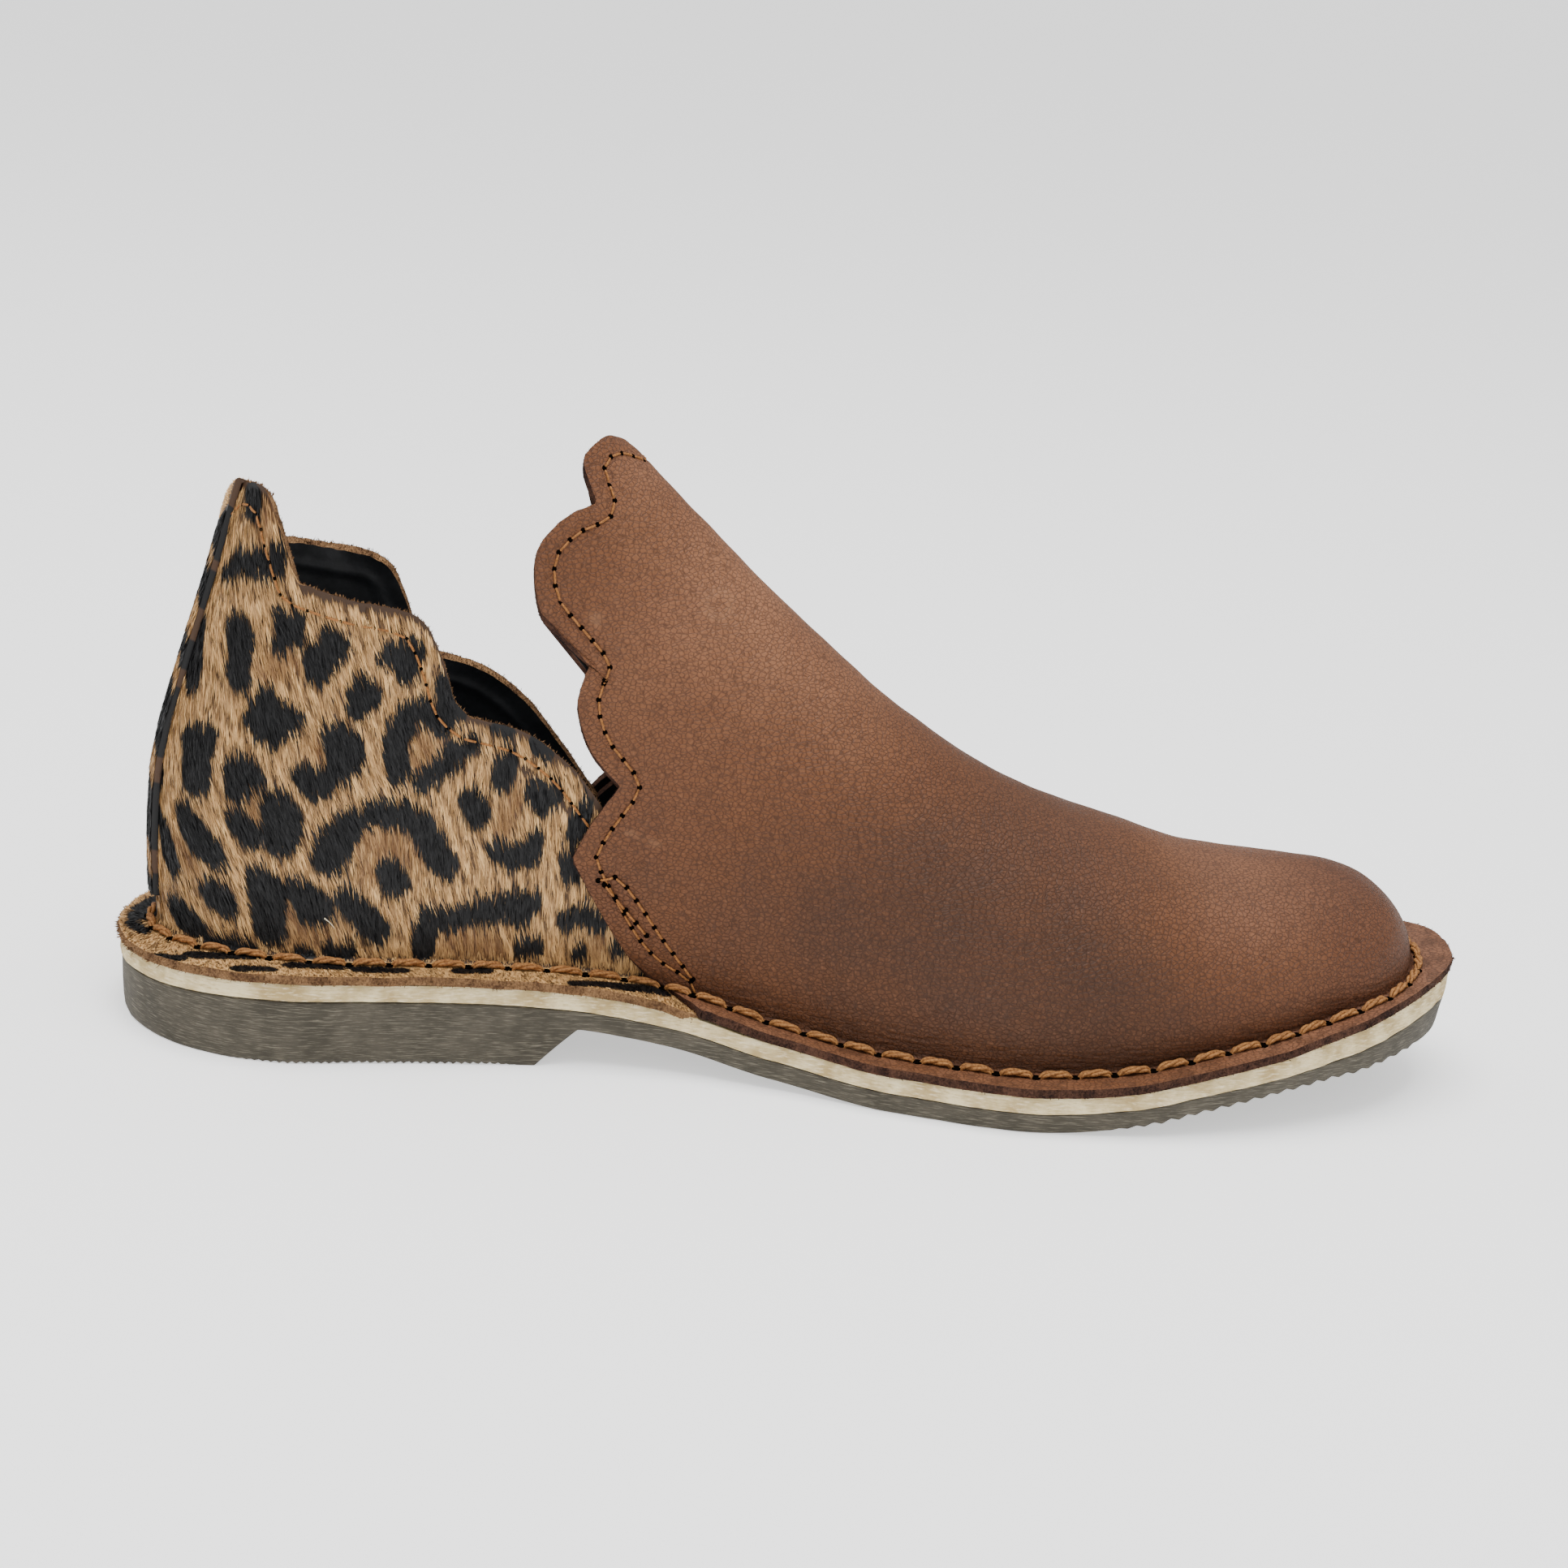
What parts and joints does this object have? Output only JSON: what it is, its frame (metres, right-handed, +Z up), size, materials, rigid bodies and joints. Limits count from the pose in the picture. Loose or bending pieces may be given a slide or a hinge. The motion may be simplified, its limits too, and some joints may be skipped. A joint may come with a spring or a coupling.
{
  "type": "veldskoen",
  "caption": "Left low slip-on field shoe with a scalloped vamp, spotted hair-on quarters, a stitched-down flange and a flat sole with a low heel.",
  "frame": {"origin": "on the floor under the middle of the heel", "axes": "+X from heel to toe, +Z up from the floor, -Y to the inner (medial) side of this left shoe"},
  "size_m": [0.272, 0.0988, 0.123],
  "materials": {
    "outsole": "matt taupe rubber with fine pale streaks",
    "midsole": "cream leatherboard, raw fibrous edge",
    "insole": "black smooth lining leather on board",
    "upper": "short-haired hide with dark spots, black lining inside",
    "vamp": "smooth tan full-grain leather, slightly waxed",
    "back_strip": "dark short-haired hide with a raw brown edge"
  },
  "bodies": {
    "root": {"outsole": "outsole", "midsole": "midsole", "insole": "insole", "upper": "upper", "vamp": "vamp", "back_strip": "back_strip"}
  },
  "joints": []
}
